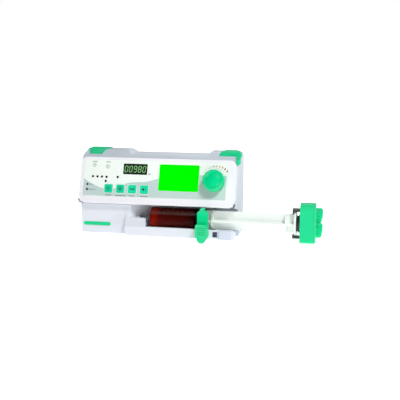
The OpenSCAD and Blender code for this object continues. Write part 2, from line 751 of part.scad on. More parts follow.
// Lever in front of the barrel: round foot on the rod, wide grip, slim pad on top
module clamp_arm() {
    back = syringe_y - barrel_r - 0.4;
    grip = rounded([[-9, -1.5, 2], [7.2, -1.5, 2], [7.2, 17.5, 2.5], [-9, 17.5, 2.5]]);
    pad = rounded([[-7, 12, 0], [7, 12, 0], [7, 33.5, 1.5], [2.8, 34.5, 0.5], [2.8, 38.5, 1.5],
        [-3.4, 38.5, 1.5], [-3.4, 34.5, 0.5], [-7, 33.5, 1.5]]);
    color([0.0, 0.8, 0.53]) translate([clamp_x, back, clamp_z]) difference() {
        union() {
            along_y(-11, 0) polygon(grip);
            rod_y(-11, 0, -0.8, -1.8, 6.2);
            along_y(-6.5, 0) polygon(pad);
        }
        rod_y(-6, 1, 0, 0, clamp_rod_r + 0.05);
        for (z = [3.4, 6.4, 9.4, 12.4]) block([-6.4, -12, z], [4.6, -10.4, z + 1.2]);
    }
}

module clamp_rod() {
    color([0.75, 0.76, 0.78]) {
        rod_y(syringe_y - barrel_r - 6.3, 6.5, clamp_x, clamp_z, clamp_rod_r);
        rod_y(2, 5, clamp_x, clamp_z, 4.2);
    }
}

// Wire of the return spring, swept round the rod
module clamp_spring() {
    r = 3.4;
    wire = 0.45;
    turns = 8;
    sides = 8;
    steps = 14;
    y0 = wall_back + 0.6;
    y1 = 1.4;
    rings = turns * steps;
    pts = [for (i = [0:rings], k = [0:sides - 1])
        let (a = i * 360 / steps, q = r + wire * cos(k * 360 / sides))
        [clamp_x + q * cos(a), y0 + (y1 - y0) * i / rings + wire * sin(k * 360 / sides),
            clamp_z + q * sin(a)]];
    skin = [for (i = [0:rings - 1], k = [0:sides - 1])
        let (a = i * sides + k, b = i * sides + (k + 1) % sides) [a, b, b + sides, a + sides]];
    color([0.7, 0.71, 0.73]) polyhedron(pts, concat(skin, [[for (k = [sides - 1:-1:0]) k]],
        [[for (k = [0:sides - 1]) rings * sides + k]]));
}

// ---------- syringe ----------

module syringe_barrel() {
    tip_r = 2.2;
    color([0.9, 0.93, 0.95, 0.5]) {
        translate([barrel_x, syringe_y, syringe_z]) rotate([0, 90, 0]) rotate_extrude()
            polygon([[bore_r, barrel_floor], [bore_r, barrel_l], [barrel_r, barrel_l], [barrel_r, 1],
                [barrel_r - 1, -0.6], [5, -2.6], [5, -11], [4.2, -11], [4.2, -3.4], [tip_r, -3.4],
                [tip_r - 0.4, -11.6], [1.1, -11.6], [1.1, barrel_floor]]);
        intersection() {
            difference() {
                rod_x(flange_x, flange_x + 2.3, syringe_y, syringe_z, 17.5);
                rod_x(flange_x - 1, flange_x + 4, syringe_y, syringe_z, barrel_r - 0.2);
            }
            block([0, syringe_y - 15.9, 0], [200, syringe_y + 15, 60]);
        }
    }
}

module syringe_plunger() {
    x0 = stopper_x + 3;
    blade = 12.6;
    color([0.95, 0.96, 0.96]) {
        for (a = [0, 90]) translate([x0, syringe_y, syringe_z]) rotate([a, 0, 0])
            translate([0, -blade, -0.8]) cube([thumb_x - x0 + 0.1, 2 * blade, 1.6]);
        for (x = [stopper_x + stopper_l + 0.1, stopper_x + stopper_l + 9, thumb_x - 12])
            rod_x(x, x + 1.6, syringe_y, syringe_z, blade + 0.4);
        rod_x(thumb_x, thumb_x + thumb_t, syringe_y, syringe_z, thumb_r);
    }
}

// Rubber stopper with two sealing ribs, hollow where the plunger snaps in
module syringe_stopper() {
    r = bore_r - 0.05;
    color([0.07, 0.07, 0.08]) difference() {
        translate([stopper_x, syringe_y, syringe_z]) rotate([0, 90, 0]) rotate_extrude()
            polygon([[0, 0], [r - 1, 0.4], [r, 1.4], [r, 2.8], [r - 0.9, 3.6], [r - 0.9, 7.4], [r, 8.2],
                [r, stopper_l], [0, stopper_l]]);
        rod_x(stopper_x + 2.9, stopper_x + stopper_l + 1, syringe_y, syringe_z, 12.7);
    }
}

module syringe_liquid() {
    color([0.35, 0.04, 0.03]) rod_x(liquid_x, liquid_x + liquid_l, syringe_y, syringe_z, bore_r - 0.05);
}

// ---------- electronics ----------

module main_board() {
    color([0.06, 0.36, 0.22]) {
        difference() {
            block([-58, 30, 66], [58, 31.6, 92]);
            for (x = [-54, 54], z = [69.5, 88.5]) rod_y(29, 33, x, z, 1.6);
        }
        block([-20, 28.4, 74], [0, 30, 88]);
        for (x = [-48, 10, 32]) block([x, 28.6, 76], [x + 12, 30, 84]);
        for (x = [-10, 2, 14, 26]) translate([x, 31.6, 72]) rotate([-90, 0, 0]) cylinder(h = 9, r = 3.2);
    }
}

// Switched supply with its transformer and heat sink
module power_supply() {
    color([0.45, 0.4, 0.3]) {
        block([-20, 30, 9], [52, 31.6, 56]);
        block([-14, 31.6, 22], [12, 50, 48]);
        for (i = [0:5]) block([20 + i * 4, 31.6, 16], [21.4 + i * 4, 48, 44]);
        block([18, 31.6, 16], [43, 33.6, 44]);
    }
}

// Six rechargeable cells standing side by side
module battery_pack() {
    pitch = 10.6;
    color([0.2, 0.3, 0.6]) for (i = [0:2], j = [0:1])
        translate([66 + i * pitch, 33 + j * pitch, 34]) cylinder(h = 50, r = pitch / 2 - 0.1);
}

module speaker() {
    color([0.12, 0.12, 0.13]) translate([-78, cover_back_y - wall - 0.1, 74]) rotate([90, 0, 0]) {
        difference() {
            cylinder(h = 3, r = 14);
            translate([0, 0, -1]) cylinder(h = 2.6, r = 12);
        }
        translate([0, 0, 3]) cylinder(h = 4, r = 8);
    }
}

// Appliance inlet: flanged shroud with a hollow for the connector and three pins
module power_inlet() {
    face = cover_back_y;
    color([0.1, 0.1, 0.11]) {
        difference() {
            union() {
                block([-90.6, face - 18, 14.4], [-63.4, face + 0.1, 34.6]);
                along_y(face + 0.05, face + 2) polygon(box_outline(-93, 12, 32, 25, 2));
            }
            along_y(face - 15.5, face + 3) polygon(rounded([[-89, 16.4, 1], [-65, 16.4, 1], [-65, 28, 1],
                [-69.5, 32.4, 1], [-84.5, 32.4, 1], [-89, 28, 1]]));
        }
        for (p = [[-84, 22], [-70, 22], [-77, 27]])
            block([p[0] - 1, face - 16, p[1] - 2], [p[0] + 1, face - 2, p[1] + 2]);
    }
}

// Rocker, pivoting on its middle
module power_switch() {
    x = -48.5;
    z = 24;
    half = 9.2;
    depth = 5;
    color([0.75, 0.1, 0.1]) {
        along_x(x - 6, x + 6) polygon([[cover_back_y - depth, z - 7], [cover_back_y + 0.6, z - half],
            [cover_back_y + 3, z - half + 1], [cover_back_y + 0.8, z], [cover_back_y + 0.6, z + half],
            [cover_back_y - depth, z + 7]]);
        rod_x(x - 6.6, x + 6.6, cover_back_y - 1, z, 1.2);
    }
}

module data_port() {
    face = cover_back_y;
    color([0.6, 0.61, 0.63]) difference() {
        union() {
            block([62.8, face - 10, 18.3], [89.2, face + 0.1, 30.2]);
            along_y(face + 0.05, face + 1.2) polygon(box_outline(60.5, 16.6, 31, 15.3, 1));
            along_y(face + 1, face + 6)
                polygon(rounded([[66, 20, 2], [86, 20, 2], [87.4, 28.4, 2], [64.6, 28.4, 2]]));
        }
        along_y(face - 4, face + 7)
            polygon(rounded([[66.9, 20.9, 1.4], [85.1, 20.9, 1.4], [86.4, 27.5, 1.4], [65.6, 27.5, 1.4]]));
    }
}

// ---------- pole clamp ----------

module pole_clamp_body() {
    plan = rounded([[pole_x - 26, cover_back_y + 0.05, 0], [pole_x + 30, cover_back_y + 0.05, 0],
        [pole_x + 30, 108, 6], [pole_x - 12, 108, 4], [pole_x - 12, 97, 2], [pole_x + 17, 97, 5],
        [pole_x + 17, 76, 4], [pole_x + 13, 70, 2], [pole_x - 24, 70, 4]]);
    color([0.3, 0.32, 0.35]) difference() {
        translate([0, 0, 40]) linear_extrude(40) polygon(plan);
        translate([pole_x, pole_y, 30]) cylinder(h = 60, r = pole_r + 0.1);
        rod_y(90, 120, pole_x, 60, 4.05);
        for (p = clamp_screws) rod_y(50, 65, p[0], p[1], 1.6);
    }
}

module pole_clamp_screw() {
    color([0.12, 0.12, 0.13]) difference() {
        union() {
            rod_y(91.5, 126, pole_x, 60, 4);
            rod_y(118, 131, pole_x, 60, 13);
            for (i = [0:pole_knob_lobes - 1]) let (a = i * 360 / pole_knob_lobes)
                rod_y(118, 131, pole_x + 12.5 * cos(a), 60 + 12.5 * sin(a), 5.5);
        }
        rod_y(129.8, 135, pole_x, 60, 10);
    }
}

module pole_clamp_pad() {
    color([0.1, 0.1, 0.11]) difference() {
        rod_y(87, 91.4, pole_x, 60, 9);
        translate([pole_x, pole_y + 3.5, 30]) cylinder(h = 60, r = pole_r + 0.1);
    }
}

front_bezel();
panel_overlay();
lcd_window();
led_window();
indicator_leds();
key_start();
key_stop();
key_fast();
key_mute();
encoder_knob();
encoder_shaft();
encoder_body();
lcd_module();
display_board();
upper_housing();
front_cradle();
cradle_end_cap();
flange_sensor();
badge();
back_cover();
bottom_plate();
corner_cap_left();
corner_cap_right();
feet();
case_screws();
drive_chassis();
stepper_motor();
motor_pinion();
screw_gear();
lead_screw();
guide_rod();
screw_bearings();
carriage();
half_nut();
drive_tube();
tube_seal();
clutch_rod();
clutch_knob();
head_body();
head_cover();
pressure_plate();
jaw_upper();
jaw_lower();
clamp_arm();
clamp_rod();
clamp_spring();
syringe_barrel();
syringe_plunger();
syringe_stopper();
syringe_liquid();
main_board();
power_supply();
battery_pack();
speaker();
power_inlet();
power_switch();
data_port();
pole_clamp_body();
pole_clamp_screw();
pole_clamp_pad();
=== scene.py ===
"""Looks of the syringe infusion pump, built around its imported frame. Metres, +Z up, operator at -Y."""

import json
import math
import random

import bmesh
import bpy
from mathutils import Matrix, Vector


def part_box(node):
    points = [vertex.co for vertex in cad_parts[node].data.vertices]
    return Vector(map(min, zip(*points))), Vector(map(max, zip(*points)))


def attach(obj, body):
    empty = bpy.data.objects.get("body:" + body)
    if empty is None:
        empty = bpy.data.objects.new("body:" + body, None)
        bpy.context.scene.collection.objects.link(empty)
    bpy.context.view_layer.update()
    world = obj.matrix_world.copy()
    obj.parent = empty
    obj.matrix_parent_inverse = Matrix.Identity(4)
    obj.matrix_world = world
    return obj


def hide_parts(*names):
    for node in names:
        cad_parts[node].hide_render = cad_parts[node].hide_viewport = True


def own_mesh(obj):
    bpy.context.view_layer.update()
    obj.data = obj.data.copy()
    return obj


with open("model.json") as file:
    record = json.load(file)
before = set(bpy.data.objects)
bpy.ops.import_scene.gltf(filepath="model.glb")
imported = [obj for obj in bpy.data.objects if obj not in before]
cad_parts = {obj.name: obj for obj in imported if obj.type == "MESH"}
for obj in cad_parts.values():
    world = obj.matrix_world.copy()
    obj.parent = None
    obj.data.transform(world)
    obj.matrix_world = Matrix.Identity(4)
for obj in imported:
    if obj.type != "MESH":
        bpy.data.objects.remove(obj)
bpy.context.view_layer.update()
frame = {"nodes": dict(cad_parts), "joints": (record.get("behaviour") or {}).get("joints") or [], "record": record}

MM = 0.001
nodes = frame["nodes"]
joints = {joint["name"]: joint for joint in frame["joints"]}
body_of = {n: body for body, held in frame["record"]["behaviour"]["bodies"].items() for n in held}
slot_of = {part["node"]: part["material_slot"] for part in frame["record"]["subparts"]}

# ---------- camera, light and floor ----------

VIEW_AZIMUTH, VIEW_ELEVATION = math.radians(11.84), math.radians(10.66)
VIEW_TARGET, VIEW_DISTANCE = Vector((0.05154, 0.0, 0.04725)), 1.0815
VIEW_LENS = 69.25
ROOM_LIGHT = 0.2
LIGHT_TARGET = (0.03, 0, 0.05)
FLOOR_RADIUS, FLOOR_SIDES = 30, 48


def aimed(thing, place, target):
    """Links an object at a place, looking at a target."""
    bpy.context.scene.collection.objects.link(thing)
    thing.location = place
    thing.rotation_euler = (Vector(target) - Vector(place)).to_track_quat("-Z", "Y").to_euler()
    return thing


def make_camera():
    data = bpy.data.cameras.new("camera")
    data.lens = VIEW_LENS
    data.sensor_width = 36
    back = Vector((
        math.sin(VIEW_AZIMUTH) * math.cos(VIEW_ELEVATION),
        -math.cos(VIEW_AZIMUTH) * math.cos(VIEW_ELEVATION),
        math.sin(VIEW_ELEVATION),
    ))
    camera = bpy.data.objects.new("camera", data)
    bpy.context.scene.camera = aimed(camera, VIEW_TARGET + VIEW_DISTANCE * back, VIEW_TARGET)


def make_softbox(name, place, size, power):
    data = bpy.data.lights.new(name, "AREA")
    data.shape = "RECTANGLE"
    data.size, data.size_y = size
    data.energy = power
    aimed(bpy.data.objects.new(name, data), place, LIGHT_TARGET)


def make_studio():
    scene = bpy.context.scene
    scene.view_settings.view_transform = "Standard"
    world = bpy.data.worlds.new("studio")
    world.use_nodes = True
    tree = world.node_tree
    background = tree.nodes["Background"]
    background.inputs["Color"].default_value = (1, 1, 1, 1)
    seen = tree.nodes.new("ShaderNodeMapRange")
    seen.inputs["To Min"].default_value = ROOM_LIGHT
    tree.links.new(tree.nodes.new("ShaderNodeLightPath").outputs["Is Camera Ray"], seen.inputs["Value"])
    tree.links.new(seen.outputs["Result"], background.inputs["Strength"])
    scene.world = world
    make_softbox("key_light", (0.6, -0.62, 1.05), (0.28, 0.28), 11.5)
    make_softbox("rear_light", (0.0, 1.1, 0.8), (0.8, 0.5), 3.5)
    floor = bpy.data.objects.new("floor", bpy.data.meshes.new("floor"))
    scene.collection.objects.link(floor)
    turns = [math.tau * i / FLOOR_SIDES for i in range(FLOOR_SIDES)]
    rim = [(FLOOR_RADIUS * math.cos(a), FLOOR_RADIUS * math.sin(a), 0) for a in turns]
    floor.data.from_pydata(rim, [], [list(range(FLOOR_SIDES))])
    glow = {"Emission Color": (1, 1, 1, 1), "Emission Strength": 0.84}
    floor_paint = surface("floor", (0.86, 0.86, 0.86), 0.7, mottle=0.004, bump=0.02, sockets=glow)
    floor.data.materials.append(floor_paint)


# ---------- materials ----------

# Broad pattern's scale, and how far it moves the roughness
BROAD_SCALE, ROUGH_SPREAD = 38, 0.07


def srgb(*channels):
    """Linear colour from 0 to 255 display values."""
    return tuple(c / 255 / 12.92 if c <= 10 else ((c / 255 + 0.055) / 1.055) ** 2.4 for c in channels)


def scaled(colour, gain):
    return tuple(min(1.0, c * gain) for c in colour) + (1.0,)


def surface(name, colour, rough, grain=0.7, bump=0.12, mottle=0.03, stretch=(1, 1, 1), wear=0.0,
            sockets=None):
    """Principled material in object space. grain is its size in mm, bump the grain's strength, mottle the
    share by which a broad pattern changes the colour, stretch draws the grain out, wear lightens edges."""
    material = bpy.data.materials.new(name)
    material.use_nodes = True
    tree = material.node_tree
    link = tree.links.new
    shader = tree.nodes["Principled BSDF"]
    for socket, value in (sockets or {}).items():
        shader.inputs[socket].default_value = value

    place = tree.nodes.new("ShaderNodeTexCoord").outputs["Object"]
    mapping = tree.nodes.new("ShaderNodeMapping")
    mapping.inputs["Scale"].default_value = stretch
    link(place, mapping.inputs["Vector"])
    fine = tree.nodes.new("ShaderNodeTexNoise")
    fine.inputs["Scale"].default_value = 1 / (grain * MM)
    fine.inputs["Detail"].default_value = 3
    link(mapping.outputs["Vector"], fine.inputs["Vector"])
    relief = tree.nodes.new("ShaderNodeBump")
    relief.inputs["Strength"].default_value = bump
    relief.inputs["Distance"].default_value = grain * MM * 0.3
    link(fine.outputs["Fac"], relief.inputs["Height"])
    link(relief.outputs["Normal"], shader.inputs["Normal"])

    broad = tree.nodes.new("ShaderNodeTexNoise")
    broad.inputs["Scale"].default_value = BROAD_SCALE
    broad.inputs["Detail"].default_value = 5
    link(place, broad.inputs["Vector"])
    tint = tree.nodes.new("ShaderNodeMix")
    tint.data_type = "RGBA"
    tint.inputs["A"].default_value = scaled(colour, 1 - mottle)
    tint.inputs["B"].default_value = scaled(colour, 1 + mottle)
    link(broad.outputs["Fac"], tint.inputs["Factor"])
    shown = tint.outputs["Result"]
    if wear:
        edge = tree.nodes.new("ShaderNodeMapRange")
        edge.inputs["From Min"].default_value = 0.515
        edge.inputs["From Max"].default_value = 0.6
        edge.inputs["To Max"].default_value = wear
        link(tree.nodes.new("ShaderNodeNewGeometry").outputs["Pointiness"], edge.inputs["Value"])
        worn = tree.nodes.new("ShaderNodeMix")
        worn.data_type = "RGBA"
        worn.inputs["B"].default_value = scaled([0.35 + 0.65 * c for c in colour], 1)
        link(edge.outputs["Result"], worn.inputs["Factor"])
        link(shown, worn.inputs["A"])
        shown = worn.outputs["Result"]
    link(shown, shader.inputs["Base Color"])
    polish = tree.nodes.new("ShaderNodeMapRange")
    polish.inputs["To Min"].default_value = max(0.02, rough - ROUGH_SPREAD)
    polish.inputs["To Max"].default_value = rough + ROUGH_SPREAD
    link(broad.outputs["Fac"], polish.inputs["Value"])
    link(polish.outputs["Result"], shader.inputs["Roughness"])
    return material


def metal(name, colour, rough, **detail):
    return surface(name, colour, rough, sockets={"Metallic": 1.0}, **detail)


CELL = 0.9  # side of a display's cells, mm


def lit(name, colour, glow, strength, specular=0.2):
    """Dark surface that glows, a little darker along the lines of a grid of square cells."""
    material = surface(name, colour, 0.25, bump=0.01, sockets={"Specular IOR Level": specular})
    tree = material.node_tree
    cells = tree.nodes.new("ShaderNodeTexBrick")
    cells.offset = 0
    cells.inputs["Scale"].default_value = 1 / (CELL * MM)
    cells.inputs["Brick Width"].default_value = 1
    cells.inputs["Row Height"].default_value = 1
    cells.inputs["Mortar Size"].default_value = 0.05
    cells.inputs["Color1"].default_value = scaled(glow, 1)
    cells.inputs["Color2"].default_value = scaled(glow, 0.985)
    cells.inputs["Mortar"].default_value = scaled(glow, 0.9)
    coord = tree.nodes.new("ShaderNodeTexCoord")
    tree.links.new(coord.outputs["Object"], cells.inputs["Vector"])
    shader = tree.nodes["Principled BSDF"]
    tree.links.new(cells.outputs["Color"], shader.inputs["Emission Color"])
    shader.inputs["Emission Strength"].default_value = strength
    return material


GREEN = srgb(0, 206, 136)
COAT = {"Coat Weight": 0.35, "Coat Roughness": 0.12}
DULL = {"Specular IOR Level": 0.06}
MATERIALS = {
    "white_plastic": surface("white_plastic", srgb(240, 240, 246), 0.35, bump=0.05, mottle=0.01),
    "printed_overlay": surface("printed_overlay", srgb(240, 248, 242), 0.42, grain=0.4, bump=0.06,
                               mottle=0.015),
    "lcd_green": lit("lcd_green", (0.0, 0.02, 0.0), (0.0, 1.0, 0.0), 1.0, specular=0.0),
    "dark_lens": surface("dark_lens", srgb(8, 26, 10), 0.12, bump=0.01, sockets=COAT),
    "lamp_lens": surface("lamp_lens", srgb(12, 12, 12), 0.2, bump=0.02, sockets=COAT),
    "green_key": surface("green_key", srgb(28, 216, 164), 0.45, grain=0.5, bump=0.1, mottle=0.03,
                         sockets=DULL),
    "green_plastic": surface("green_plastic", GREEN, 0.38, grain=0.8, bump=0.14, mottle=0.06, wear=0.12,
                             sockets=DULL),
    "steel": metal("steel", (0.62, 0.63, 0.65), 0.28, grain=0.3, stretch=(1, 14, 14), bump=0.1),
    "black_plastic": surface("black_plastic", (0.03, 0.03, 0.034), 0.5, grain=0.6, bump=0.3, wear=0.15),
    "circuit_board": surface("circuit_board", (0.01, 0.16, 0.07), 0.35, grain=2.4, bump=0.3, mottle=0.3),
    "grey_plastic": surface("grey_plastic", srgb(203, 212, 222), 0.5, grain=0.55, bump=0.22, mottle=0.02),
    "light_grey_plastic": surface("light_grey_plastic", srgb(218, 222, 230), 0.5, grain=0.55, bump=0.2,
                                  mottle=0.02),
    "lavender_plastic": surface("lavender_plastic", srgb(203, 208, 224), 0.45, grain=0.55, bump=0.16,
                                mottle=0.03),
    "navy_plastic": surface("navy_plastic", srgb(22, 26, 88), 0.25, bump=0.05, sockets=COAT),
    "green_rubber": surface("green_rubber", srgb(4, 208, 142), 0.62, grain=0.5, bump=0.3, mottle=0.05,
                            wear=0.12, sockets=DULL),
    "black_rubber": surface("black_rubber", (0.02, 0.02, 0.021), 0.75, grain=0.4, bump=0.4, mottle=0.15),
    "dark_steel": metal("dark_steel", (0.18, 0.18, 0.19), 0.4, grain=0.4, wear=0.4),
    "zinc_steel": metal("zinc_steel", (0.55, 0.56, 0.58), 0.4, grain=1.2, bump=0.15, mottle=0.12),
    "black_metal": surface("black_metal", (0.03, 0.03, 0.033), 0.4, grain=0.8, wear=0.2,
                           sockets={"Metallic": 0.4}),
    "brass": metal("brass", (0.72, 0.5, 0.2), 0.3, grain=0.4, wear=0.2),
    "nylon": surface("nylon", (0.76, 0.74, 0.66), 0.5, bump=0.1),
    "chrome": metal("chrome", (0.86, 0.87, 0.88), 0.12, grain=0.3, stretch=(1, 10, 10), bump=0.03),
    "clear_barrel": surface("clear_barrel", (1.0, 1.0, 1.0), 0.05, bump=0.01, mottle=0.01,
                            sockets={"Transmission Weight": 1.0, "IOR": 1.06}),
    # plunger_white has a painted glow: the faint green-white emission stands in for light through the plastic and
    # green reflected light.
    "plunger_white": surface("plunger_white", srgb(236, 242, 238), 0.35, grain=1.0, bump=0.03,
                             sockets={"Emission Color": (0.85, 1.0, 0.92, 1), "Emission Strength": 0.05}),
    "red_liquid": surface("red_liquid", (0.14, 0.003, 0.0005), 0.3, bump=0.0, mottle=0.2,
                          sockets={"Specular IOR Level": 0.03}),
    "power_parts": surface("power_parts", (0.2, 0.15, 0.07), 0.5, grain=2.2, bump=0.4, mottle=0.4),
    "battery_sleeve": surface("battery_sleeve", (0.02, 0.07, 0.32), 0.25, grain=2.0, bump=0.1),
    "red_plastic": surface("red_plastic", (0.45, 0.015, 0.012), 0.3, bump=0.06, sockets=COAT),
    "cast_alloy": surface("cast_alloy", srgb(96, 102, 110), 0.5, grain=0.9, bump=0.45, mottle=0.06,
                          wear=0.3),
}
INKS = {
    "wave": surface("ink_wave", srgb(190, 210, 207), 0.42, grain=0.4, bump=0.06, mottle=0.02),
    "dark": surface("ink_dark", srgb(84, 92, 92), 0.5, bump=0.05, mottle=0.1),
    "icon": surface("ink_icon", srgb(6, 60, 44), 0.5, bump=0.05, mottle=0.1),
    "orange": surface("ink_orange", srgb(222, 138, 92), 0.5, bump=0.05, mottle=0.1),
    "red": surface("ink_red", srgb(178, 40, 34), 0.5, bump=0.05, mottle=0.1),
    "lamp": surface("lamp_pale", srgb(206, 222, 212), 0.2, bump=0.02, sockets=COAT),
    "lit_digit": lit("lit_digit", (0.05, 0.15, 0.05), srgb(138, 190, 128), 0.8),
    "unlit_digit": surface("unlit_digit", srgb(20, 62, 26), 0.3, bump=0.03, mottle=0.1),
}

# ---------- making pieces ----------


def piece_from(bm, name, body, slot, stands_for=(), material=None):
    """New object from a bmesh, riding on a body and standing for the CAD nodes named."""
    mesh = bpy.data.meshes.new(name)
    bm.to_mesh(mesh)
    bm.free()
    piece = bpy.data.objects.new(name, mesh)
    bpy.context.scene.collection.objects.link(piece)
    mesh.materials.append(material or MATERIALS[slot])
    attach(piece, body)
    if stands_for:
        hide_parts(*stands_for)
    return piece


def cleaned(node):
    """bmesh of a CAD node with its flat faces merged."""
    source = nodes[node].data
    mesh = bpy.data.meshes.new("work")
    mesh.from_pydata([v.co for v in source.vertices], [], [list(p.vertices) for p in source.polygons])
    bm = bmesh.new()
    bm.from_mesh(mesh)
    bpy.data.meshes.remove(mesh)
    bmesh.ops.remove_doubles(bm, verts=bm.verts, dist=2e-6)
    bmesh.ops.dissolve_limit(bm, angle_limit=math.radians(0.6), verts=bm.verts, edges=bm.edges)
    bmesh.ops.recalc_face_normals(bm, faces=bm.faces)
    return bm


def smooth(piece):
    for polygon in piece.data.polygons:
        polygon.use_smooth = True


SHARP = 33  # degrees from which an edge is rounded


def softened(node, width, segments=2):
    """Copy of a CAD node with its edges rounded by width mm."""
    piece = piece_from(cleaned(node), node + "_skin", body_of[node], slot_of[node], [node])
    smooth(piece)
    bevel = piece.modifiers.new("edges", "BEVEL")
    bevel.width = width * MM
    bevel.use_clamp_overlap = True
    bevel.loop_slide = False
    bevel.segments = segments
    bevel.limit_method = "ANGLE"
    bevel.angle_limit = math.radians(SHARP)
    bevel.harden_normals = True
    return piece


# Width of the rounded edges, mm, and the nodes that have it
EDGES = {
    0.7: ["head_body", "head_cover", "clutch_knob", "pole_clamp_body"],
    0.5: ["front_cradle", "cradle_end_cap", "corner_cap_left", "corner_cap_right", "clamp_arm",
          "pole_clamp_screw", "encoder_knob", "pressure_plate"],
    0.3: ["jaw_upper", "jaw_lower", "bottom_plate", "feet", "power_switch", "power_inlet", "pole_clamp_pad",
          "drive_tube", "badge"],
    0.15: ["upper_housing", "back_cover", "syringe_plunger", "flange_sensor", "case_screws", "data_port",
           "tube_seal", "clamp_rod", "lcd_window", "led_window", "panel_overlay"],
}


def paint_frame():
    for name, node in nodes.items():
        node.data.materials.clear()
        node.data.materials.append(MATERIALS[slot_of[name]])


def carved(piece, cutter):
    """Takes the closed shapes in the bmesh cutter out of a piece."""
    mesh = bpy.data.meshes.new("cutter")
    cutter.to_mesh(mesh)
    cutter.free()
    tool = bpy.data.objects.new("cutter", mesh)
    bpy.context.scene.collection.objects.link(tool)
    cut = piece.modifiers.new("cut", "BOOLEAN")
    cut.operation = "DIFFERENCE"
    cut.solver = "EXACT"
    cut.object = tool
    result = bpy.data.meshes.new_from_object(piece.evaluated_get(bpy.context.evaluated_depsgraph_get()))
    piece.modifiers.clear()
    piece.data = result
    bpy.data.objects.remove(tool)
    return piece


def add_slab(bm, outline, low, high):
    """Closed slab over a counter-clockwise outline on the panel, from height low to high."""
    rings = [[bm.verts.new(PANEL @ Vector((x, s, n))) for x, s in outline] for n in (low, high)]
    bm.faces.new(rings[0][::-1])
    bm.faces.new(rings[1])
    for i in range(len(outline)):
        j = (i + 1) % len(outline)
        bm.faces.new((rings[0][i], rings[0][j], rings[1][j], rings[1][i]))


def arc(x, y, r, start=0.0, sweep=360.0, steps=32):
    """Points on an arc, in degrees; a full turn leaves out its repeated end."""
    count = steps if sweep == 360 else steps + 1
    angles = [math.radians(start + sweep * i / steps) for i in range(count)]
    return [(x + r * math.cos(a), y + r * math.sin(a)) for a in angles]


def band(x, y, r0, r1, start=0.0, sweep=350.0, steps=28):
    """Outline of a ring that is open by a small gap, or of a wedge-shaped tick."""
    return arc(x, y, r1, start, sweep, steps) + arc(x, y, r0, start, sweep, steps)[::-1]


def bar(x0, y0, x1, y1):
    return [(x0, y0), (x1, y0), (x1, y1), (x0, y1)]


def round_bar(x0, y0, x1, y1, r, steps=6):
    corners = ((x1 - r, y0 + r, 270), (x1 - r, y1 - r, 0), (x0 + r, y1 - r, 90), (x0 + r, y0 + r, 180))
    return [point for x, y, start in corners for point in arc(x, y, r, start, 90, steps)]


def catmull_rom(a, b, c, d, f):
    """Value a share f of the way from b to c."""
    square, cube = 2 * a - 5 * b + 4 * c - d, 3 * b - a - 3 * c + d
    return 0.5 * (2 * b + (c - a) * f + square * f ** 2 + cube * f ** 3)


def through(points, steps=8):
    """Smooth curve through points."""
    held = [points[0], *points, points[-1]]
    curve = []
    for p0, p1, p2, p3 in zip(held, held[1:], held[2:], held[3:]):
        for i in range(steps):
            f = i / steps
            curve.append(tuple(catmull_rom(*ends, f) for ends in zip(p0, p1, p2, p3)))
    return curve + [points[-1]]


# ---------- operating panel ----------
# Panel coordinates are millimetres: x along the panel, s up its slope from the lower edge, n out of it.

NORMAL = Vector(joints["dial_turn"]["axis"])
UP = Vector((0, NORMAL.z, -NORMAL.y))
lower_edge = min((v.co for v in nodes["front_bezel"].data.vertices), key=lambda co: co.y)
PANEL = (Matrix.Translation((0, lower_edge.y, lower_edge.z))
         @ Matrix((Vector((1, 0, 0)), UP, NORMAL)).transposed().to_4x4() @ Matrix.Scale(MM, 4))


def panel_box(node, above=-50.0):
    """x0, s0, x1, s1 of the part of a node that stands higher than n = above."""
    inverse = PANEL.inverted()
    points = [inverse @ v.co for v in nodes[node].data.vertices]
    xs, ss = zip(*[(p.x, p.y) for p in points if p.z > above])
    return min(xs), min(ss), max(xs), max(ss)


def centre_of(box):
    return (box[0] + box[2]) / 2, (box[1] + box[3]) / 2


KEYS = ["key_start", "key_stop", "key_fast", "key_mute"]
key_boxes = {key: panel_box(key, 0.3) for key in KEYS}
overlay_box = panel_box("panel_overlay")
digit_box = panel_box("led_window", -0.3)
knob_x, knob_s = centre_of(panel_box("encoder_knob"))
PRINT_LOW, PRINT_HIGH = -0.078, -0.045
label_random = random.Random(7)
# x, s and width of each printed label
LABELS = [(-92.6, 56.8, 6.5), (-73, 56.6, 5.5), (-94.6, 24.6, 4.8), (-95, 17.6, 8.5), (-70.6, 10.6, 7.2),
          (-57, 10.3, 14.5), (-37, 10.3, 8), (-21, 10, 10), (-11.8, 41.2, 3)]


def printed(name, outlines, ink, low=PRINT_LOW, high=PRINT_HIGH, body="root", slot="printed_overlay"):
    """Thin slabs of ink on the panel."""
    bm = bmesh.new()
    for outline in outlines:
        add_slab(bm, outline, low, high)
    return piece_from(bm, name, body, slot, material=INKS[ink])


def make_wave():
    """Grey-green field on the lower part of the overlay, with openings for the keys and the knob."""
    x0, s0, x1, s1 = overlay_box
    margin, gap, shaft_hole = 0.9, 0.8, 5
    crest = [(x0 + 0.5, 33.5), (-96, 28.8), (-85, 23.6), (-73, 19.8), (-62, 19.4), (-52, 24), (-39.6, 28.7),
             (-27, 30.3), (-15.7, 30.9), (-6, 33), (3.4, 36), (30, 40), (60, 42.6), (x1 - margin, 43)]
    outline = [(x0 + margin, s0 + margin), (x1 - margin, s0 + margin)]
    outline += through([(max(x, x0 + margin), s) for x, s in crest])[::-1]
    wave = printed("overlay_wave", [outline], "wave")
    tools = bmesh.new()
    for box in key_boxes.values():
        x0, s0, x1, s1 = box
        add_slab(tools, round_bar(x0 - gap, s0 - gap, x1 + gap, s1 + gap, 1.2), -1, 1)
    add_slab(tools, arc(knob_x, knob_s, shaft_hole), -1, 1)
    carved(wave, tools)


def words(x, s, width, height=1.3):
    """Short bars in a row, in place of a label."""
    outlines, at = [], x
    while at < x + width:
        length = label_random.uniform(0.7, 1.5)
        outlines.append(bar(at, s, at + length, s + height * label_random.choice((0.8, 1.0))))
        at += length + 0.35
    return outlines


